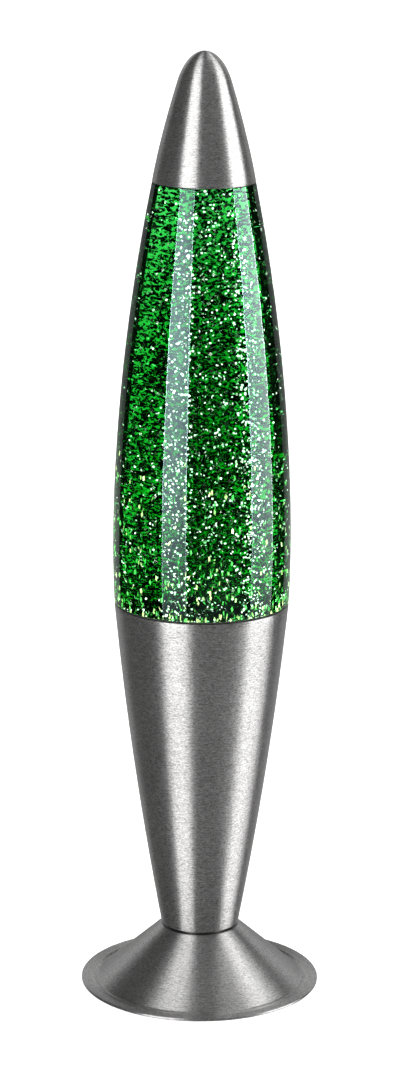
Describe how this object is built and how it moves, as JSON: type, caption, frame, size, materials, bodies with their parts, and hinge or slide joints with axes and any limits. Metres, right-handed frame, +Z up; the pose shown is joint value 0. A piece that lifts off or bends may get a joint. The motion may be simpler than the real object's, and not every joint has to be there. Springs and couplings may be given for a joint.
{
  "type": "glitter lamp",
  "caption": "Rocket-shaped glitter lamp: a tapered glass bottle of dyed liquid in a spun metal cup on a conical foot, with a lift-off nose cap and a bulb below.",
  "frame": {"origin": "centre of the foot's flat rest plane", "axes": "+Z up along the lamp's axis, towards the nose of the cap; +Y to the rear, where the supply lead's inlet is"},
  "size_m": [0.1072, 0.1072, 0.42],
  "materials": {
    "spun_aluminium": "brushed",
    "black_plastic": "matt",
    "holder_plastic": "satin",
    "black_rubber": "matt",
    "zinc_steel": "zinc plated",
    "holder_ceramic": "unglazed",
    "brass_contacts": "bare",
    "solder": "solder",
    "black_glass": "gloss",
    "bulb_cap_metal": "nickel plated",
    "bulb_glass": "frosted front, silvered back",
    "bulb_stem_glass": "clear",
    "filament": "drawn wire",
    "bottle_glass": "clear gloss",
    "green_liquid": "clear dyed liquid with glitter",
    "crown_steel": "lacquered tinplate",
    "liner_plastic": "matt",
    "block_plastic": "matt",
    "brown_sleeve": "satin",
    "blue_sleeve": "satin"
  },
  "bodies": {
    "stand": {"foot_cone": "spun_aluminium", "base_cup": "spun_aluminium", "bottom_cover": "black_plastic", "inlet_grommet": "black_rubber", "seat_ring": "black_rubber", "threaded_nipple": "zinc_steel", "upper_washer": "zinc_steel", "upper_nut": "zinc_steel", "lower_washer": "zinc_steel", "lower_nut": "zinc_steel", "holder_base": "holder_plastic", "holder_skirt": "holder_plastic", "holder_insert": "holder_ceramic", "screw_contact": "brass_contacts", "centre_contact": "brass_contacts", "terminal_block": "block_plastic", "block_screw": "zinc_steel", "terminal_screw_1": "brass_contacts", "terminal_screw_2": "brass_contacts", "terminal_screw_3": "brass_contacts", "terminal_screw_4": "brass_contacts", "live_lead": "brown_sleeve", "neutral_lead": "blue_sleeve"},
    "bulb_contact": {"bulb_tip": "solder"},
    "bulb": {"bulb_cap": "bulb_cap_metal", "bulb_insulator": "black_glass", "bulb_glass": "bulb_glass", "bulb_stem": "bulb_stem_glass", "bulb_filament": "filament"},
    "bottle": {"bottle_glass": "bottle_glass", "liquid": "green_liquid", "crown_closure": "crown_steel", "crown_liner": "liner_plastic"},
    "cap": {"rocket_cap": "spun_aluminium"}
  },
  "joints": [
    {"name": "bulb_rise", "type": "slide", "parent": "stand", "child": "bulb_contact", "axis": [0, 0, 1], "range_m": [0, 0.0101]},
    {"name": "bulb_unscrew", "type": "hinge", "parent": "bulb_contact", "child": "bulb", "pos_m": [0, 0, 0.09], "axis": [0, 0, 1], "range_deg": [0, 1260]},
    {"name": "bottle_lift", "type": "slide", "parent": "stand", "child": "bottle", "axis": [0, 0, 1], "range_m": [0, 0.045]},
    {"name": "cap_lift", "type": "slide", "parent": "bottle", "child": "cap", "axis": [0, 0, 1], "range_m": [0, 0.06]}
  ],
  "couplings": [
    {"joint": "bulb_rise", "follows": "bulb_unscrew", "m_per_rad": 0.00044882}
  ]
}
